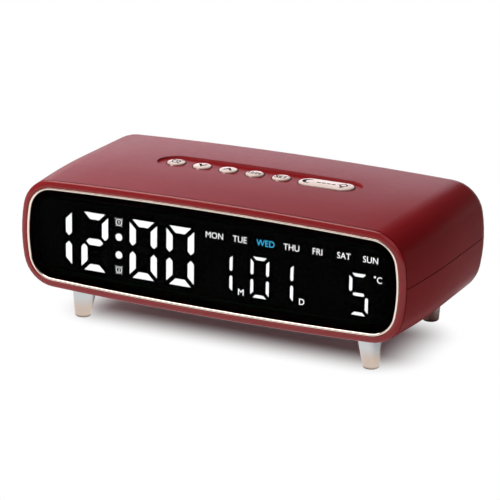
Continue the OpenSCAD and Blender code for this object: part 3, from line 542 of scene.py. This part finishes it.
def alarm_clock(sign, centre, radius, width, thin):
    """A round clock with two bells and two legs."""
    sign.ring(centre, radius, width)
    for side in (-1, 1):
        sign.ring(centre, radius * BELL_RADIUS, thin, 90 - side * BELL_START, 90 - side * BELL_END, steps=8)
        leg = [(centre[0] + side * radius * x, centre[1] + radius * y) for x, y in (LEG_TOP, LEG_TOE)]
        sign.bar(leg[0], leg[1], thin)
    return sign


def moon(sign, centre, radius):
    """A crescent between two arcs."""
    hollow = (centre[0] + HOLLOW_SHIFT * radius, centre[1])
    outer = arc(centre, radius, 50, 310, steps=24)
    inner = arc(hollow, HOLLOW_RADIUS * radius, -76, -284, steps=20)
    return sign.fill(outer + inner)


# The dark film stands a little clear of the lens and the housing, so that no two faces share a plane
FILM_FROM_LENS = 0.06
FILM_FROM_HOUSING = 0.02


def film_sheet():
    """A copy of the film that is a little thinner, shown in its place."""
    mesh = nodes["legend_film"].data.copy()
    for vert in mesh.vertices:
        front = abs(vert.co.y - FILM_FRONT * MM) < abs(vert.co.y - FILM_BACK * MM)
        vert.co.y = (FILM_FRONT + FILM_FROM_LENS if front else FILM_BACK - FILM_FROM_HOUSING) * MM
    mesh.name = "film_sheet"
    obj = bpy.data.objects.new("film_sheet", mesh)
    bpy.context.scene.collection.objects.link(obj)
    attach(obj, "base")
    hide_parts("legend_film")


film_sheet()

# Signs on the film, with places from the middle of the face
PRINT_THICK = 0.03
PRINT_FROM_LENS = 0.05
DAYS = ["MON", "TUE", "WED", "THU", "FRI", "SAT", "SUN"]
FIRST_DAY = (3.48, 12.34)
NEXT_DAY = (13.16, 0.045)
ALARM_X = -47.15
ALARM_ZS = {1: 11.23, 2: -12.55}
BOW_MIDDLE = 0.25
# Strokes of the digits in the alarm signs: start, end and width, from the middle of the sign
STROKES = {
    1: [((0.1, -0.7), (0.1, 0.7), 0.22), ((-0.4, 0.3), (0.1, 0.7), 0.2)],
    2: [((0.3, 0.0), (-0.4, -0.7), 0.2), ((-0.5, -0.7), (0.5, -0.7), 0.2)],
}


def on_film(x, y, lift):
    return (x, FILM_FRONT + PRINT_FROM_LENS - lift, MID_Z + y)


def light_up(sign, material=PRINT):
    """Puts a glowing sign on the film."""
    sign.build(on_film, PRINT_THICK, material, "lit_diffuser", "base")


for i, day in enumerate(DAYS):
    middle = (FIRST_DAY[0] + NEXT_DAY[0] * i, FIRST_DAY[1] + NEXT_DAY[1] * i)
    letters = Sign("day_" + day.lower()).word(day, middle, height=2.95, bold=-0.005, squeeze=0.94)
    light_up(letters, PRINT_BLUE if day == "WED" else PRINT)
for digit, z in ALARM_ZS.items():
    alarm = alarm_clock(Sign("alarm_sign_%d" % digit), (ALARM_X, z), radius=1.68, width=0.31, thin=0.2)
    if digit == 2:
        alarm.ring((ALARM_X, z + BOW_MIDDLE), radius=0.5, width=0.2, start=160, end=-40, steps=12)
    for start, end, width in STROKES[digit]:
        alarm.bar((ALARM_X + start[0], z + start[1]), (ALARM_X + end[0], z + end[1]), width)
    light_up(alarm)
light_up(Sign("month_sign").word("M", (17.58, -13.2), height=3.0))
light_up(Sign("day_sign").word("D", (48.78, -12.9), height=2.9))
degree = Sign("degree_sign").ring((84.85, 4.85), radius=0.5, width=0.28)
light_up(degree.word("C", (87.12, 3.67), height=3.05, squeeze=0.9))

# Marks on the buttons, with places from the middle of each button
MARK_SINK = 0.01
ARROW = [(-2.7, 1.9), (-1.2, 1.9), (0, 0.1), (1.2, 1.9), (2.7, 1.9), (0, -2.3)]
MIDDLE = (0, 0)
BULB = (8.6, 0.7)


def mark(sign, button):
    """Prints a sign on a button's cap."""
    def on_cap(x, y, lift):
        return (BUTTON_XS[button] + x, y, CAP_Z - MARK_SINK + lift)
    sign.build(on_cap, PRINT_THICK, INK_AND_SHADE, "button_cream", button)


alarm = alarm_clock(Sign("alarm_mark"), MIDDLE, radius=2.45, width=0.72, thin=0.72)
mark(alarm.bar((0, -0.2), (0, 1.3), 0.62).bar((-0.2, -0.2), (1.2, -0.2), 0.62), "alarm")
mark(Sign("down_mark").fill(ARROW), "down")
mark(Sign("up_mark").fill([(x, -y) for x, y in ARROW]), "up")
mark(Sign("mode_mark").word("12/24", MIDDLE, height=3.5, bold=0.03, squeeze=0.7), "mode")
mark(Sign("set_mark").word("SET", MIDDLE, height=3.9, bold=0.03, squeeze=0.82), "set")

# Dark rings of painted shade round the buttons, on the floor of the recess, where the gaps round them fall in
# shade
GAP_THICK = 0.02
GAP_LIFT = 0.01
GAP_WIDTH = 0.42
ROUND_GAP = 5.0
LONG_GAP = 6.0
LONG_HALF = 8.7


def lay_shade_ring(sign, button):
    """Lays a dark line of painted shade round a button."""
    def on_recess(x, y, lift):
        return (BUTTON_XS[button] + x, y, RECESS_Z + GAP_LIFT + lift)
    sign.build(on_recess, GAP_THICK, INK_AND_SHADE, "case_red", "base")


for name in ROUND_BUTTONS:
    lay_shade_ring(Sign(name + "_shade_ring").ring(MIDDLE, ROUND_GAP, GAP_WIDTH), name)
# The long button's ring of painted shade: two half rings joined by two bars
long_shade_ring = Sign("snooze_shade_ring")
for side in (-1, 1):
    level = side * (LONG_GAP - GAP_WIDTH / 2)
    long_shade_ring.ring((side * LONG_HALF, 0), LONG_GAP, GAP_WIDTH, 90, 90 - side * 180)
    long_shade_ring.bar((-LONG_HALF, level), (LONG_HALF, level), GAP_WIDTH)
lay_shade_ring(long_shade_ring, "snooze")

# The long button's mark: a moon, four dashes and a bulb with its cap and rays
snooze = moon(Sign("snooze_mark"), (-9.4, 0), radius=3.1)
for x in (-5.0, -2.4, 0.2, 2.8):
    snooze.bar((x, 0), (x + 1.9, 0), 1.1)
snooze.ring(BULB, radius=2.1, width=0.8)
snooze.bar((7.5, -1.9), (9.7, -1.9), 0.8)
snooze.bar((7.8, -3.0), (9.4, -3.0), 0.7)
for degrees in (20, 90, 160):
    snooze.bar(around(BULB, 2.5, degrees), around(BULB, 3.4, degrees), 0.5)
mark(snooze, "snooze")

# Floor: middle, half sizes and fading edge of its rectangles, in metres
FLOOR_SIZE = 6.0
FLOOR_PARTS = 8
FLOOR_DROP = 0.00005
SHADOW_SEEN = ((0.0, 0.0, 0.0), (0.068, 0.014, 0.0), 0.034)
SHADOW_MIRRORED = ((0.0, 0.026, 0.0), (0.090, 0.036, 0.0), 0.020)
RIGHT_OF_CLOCK = ((1.115, 0.90, 0.0), (1.0, 1.0, 0.0), 0.03)
RIGHT_MIRRORED = 0.5    # brightness of the floor on the right in reflections


def clear_of(tree, where, rectangle):
    """Rises from 0 to 1 over the fading edge of a rectangle of the floor."""
    middle, half_sizes, fade = rectangle
    vectors = "ShaderNodeVectorMath"
    about = arithmetic(tree, "SUBTRACT", where, middle, kind=vectors)
    apart = arithmetic(tree, "ABSOLUTE", about, kind=vectors)
    outside = arithmetic(tree, "SUBTRACT", apart, half_sizes, kind=vectors)
    outside = arithmetic(tree, "MAXIMUM", outside, (0.0, 0.0, 0.0), kind=vectors)
    distance = arithmetic(tree, "LENGTH", outside, kind=vectors)
    return mapped(tree, distance, (0.0, fade), (0.0, 1.0), smooth=True)


def floor_material():
    """White to the eye and in reflections, except close under the clock, where its own shadow shows."""
    mat, tree, bsdf = new_material("white_floor")
    where = coords(tree)
    tint = clouded(tree, noise(tree, where, scale=3, detail=2.0, rough=0.5), grey(0.94), grey(0.96))
    tree.links.new(tint, bsdf.inputs["Base Color"])
    bsdf.inputs["Roughness"].default_value = 0.8
    bsdf.inputs["Specular IOR Level"].default_value = 0.1
    rays = tree.nodes.new("ShaderNodeLightPath").outputs
    seen = arithmetic(tree, "MULTIPLY", clear_of(tree, where, SHADOW_SEEN), rays["Is Camera Ray"])
    mirrored = arithmetic(tree, "MAXIMUM", rays["Is Glossy Ray"], rays["Is Transmission Ray"])
    mirrored = arithmetic(tree, "MULTIPLY", clear_of(tree, where, SHADOW_MIRRORED), mirrored)

    # On the right the floor is white for the light that it throws on the side, and dimmer in reflections
    elsewhere = clear_of(tree, where, RIGHT_OF_CLOCK)
    bounced = arithmetic(tree, "SUBTRACT", 1.0, elsewhere)
    bounced = arithmetic(tree, "MULTIPLY", bounced, rays["Is Diffuse Ray"])
    full = arithmetic(tree, "MAXIMUM", rays["Is Camera Ray"], rays["Is Diffuse Ray"])
    dimmed = arithmetic(tree, "MULTIPLY_ADD", elsewhere, 1.0 - RIGHT_MIRRORED, RIGHT_MIRRORED)
    glow = tree.nodes.new("ShaderNodeEmission")
    tree.links.new(arithmetic(tree, "MAXIMUM", full, dimmed), glow.inputs["Strength"])
    white = arithmetic(tree, "MAXIMUM", arithmetic(tree, "MAXIMUM", mirrored, bounced), seen)
    mix = tree.nodes.new("ShaderNodeMixShader")
    for socket, source in zip(mix.inputs, (white, bsdf.outputs["BSDF"], glow.outputs["Emission"])):
        tree.links.new(source, socket)
    out = next(node for node in tree.nodes if node.type == "OUTPUT_MATERIAL")
    tree.links.new(mix.outputs[0], out.inputs["Surface"])
    return mat


def floor():
    mesh = bpy.data.meshes.new("floor")
    shape = bmesh.new()
    bmesh.ops.create_grid(shape, x_segments=FLOOR_PARTS, y_segments=FLOOR_PARTS, size=FLOOR_SIZE)
    for vert in shape.verts:
        vert.co.z = -FLOOR_DROP
    shape.to_mesh(mesh)
    shape.free()
    obj = bpy.data.objects.new("floor", mesh)
    bpy.context.scene.collection.objects.link(obj)
    mesh.materials.append(floor_material())


floor()

# Light: a pale surround, a soft key above on the left, a weak fill in front and a low cool light behind

# The surround fades between two directions along an axis, from one level to another
LEFT_TO_RIGHT = ((-0.6, 0.65), (0.34, 0.05))
LOW_TO_HIGH = ((0.05, 0.25), (1.0, 0.0))
FRONT_TO_BACK = ((-0.3, 0.2), (0.0, 1.0))


def surround():
    """White to the camera, brighter on the left as a light, and white in reflections low behind the clock."""
    world = bpy.data.worlds.new("studio")
    bpy.context.scene.world = world
    world.use_nodes = True
    tree = world.node_tree
    tree.nodes.clear()
    out = tree.nodes.new("ShaderNodeOutputWorld")
    sky = tree.nodes.new("ShaderNodeBackground")
    sky.inputs["Color"].default_value = grey(1.0)
    rays = tree.nodes.new("ShaderNodeLightPath").outputs
    towards = axes(tree, tree.nodes.new("ShaderNodeTexCoord").outputs["Generated"])
    side = mapped(tree, towards["X"], *LEFT_TO_RIGHT, smooth=True)
    low_down = mapped(tree, towards["Z"], *LOW_TO_HIGH, smooth=True)
    behind = mapped(tree, towards["Y"], *FRONT_TO_BACK, smooth=True)
    backdrop = arithmetic(tree, "MULTIPLY", low_down, behind)
    mirrored = arithmetic(tree, "MAXIMUM", rays["Is Glossy Ray"], rays["Is Transmission Ray"])
    strength = mixed(tree, mirrored, side, mixed(tree, backdrop, side, 1.0, "FLOAT"), "FLOAT")
    strength = mixed(tree, rays["Is Camera Ray"], strength, 1.0, "FLOAT")
    tree.links.new(strength, sky.inputs["Strength"])
    tree.links.new(sky.outputs["Background"], out.inputs["Surface"])


def softbox(name, at, towards, width, height, power, colour=(1.0, 1.0, 1.0)):
    """A soft area light that the camera doesn't see."""
    lamp = bpy.data.lights.new(name, "AREA")
    lamp.shape = "RECTANGLE"
    lamp.size = width
    lamp.size_y = height
    lamp.energy = power
    lamp.color = colour
    obj = bpy.data.objects.new(name, lamp)
    obj.location = at
    obj.rotation_euler = (Vector(towards) - Vector(at)).to_track_quat("-Z", "Y").to_euler()
    obj.visible_camera = False
    bpy.context.scene.collection.objects.link(obj)


surround()
softbox("key", at=(-0.26, -0.14, 0.63), towards=(0.0, 0.0, 0.05), width=0.6, height=0.6, power=4.75)
softbox("fill", at=(0.25, -0.75, 0.42), towards=(0.0, 0.0, 0.04), width=0.5, height=0.5, power=0.6)
softbox("rim_light", at=(-0.33, 0.69, 0.24), towards=(0.0, 0.0, 0.07), width=0.60, height=0.20, power=0.98,
        colour=(1.0, 0.97, 1.12))

# Camera at the photograph's place: focal length in pixels of the picture, lengths in millimetres
AZIMUTH = math.radians(25.5332)
ELEVATION = math.radians(17.9045)
ROLL = math.radians(0.9155)
FOCAL_PIXELS = 2420.529
PICTURE_PIXELS = 500
SENSOR_WIDTH = 36.0
AIM = (-0.8799, -4.2490, 37.1929)
DISTANCE = 1175.951
CLIP_END = 50.0    # metres


def camera():
    across = math.cos(ELEVATION)
    back = Vector((math.sin(AZIMUTH) * across, -math.cos(AZIMUTH) * across, math.sin(ELEVATION)))
    right = Vector((math.cos(AZIMUTH), math.sin(AZIMUTH), 0.0))
    up = right.cross(-back)
    x_axis = math.cos(ROLL) * right + math.sin(ROLL) * up
    y_axis = math.cos(ROLL) * up - math.sin(ROLL) * right
    data = bpy.data.cameras.new("camera")
    data.sensor_width = SENSOR_WIDTH
    data.lens = FOCAL_PIXELS / PICTURE_PIXELS * SENSOR_WIDTH
    data.clip_end = CLIP_END
    obj = bpy.data.objects.new("camera", data)
    turn = Matrix((x_axis, y_axis, back)).transposed().to_4x4()
    obj.matrix_world = Matrix.Translation((Vector(AIM) + back * DISTANCE) * MM) @ turn
    bpy.context.scene.collection.objects.link(obj)
    bpy.context.scene.camera = obj


camera()
bpy.context.scene.view_settings.view_transform = "Standard"
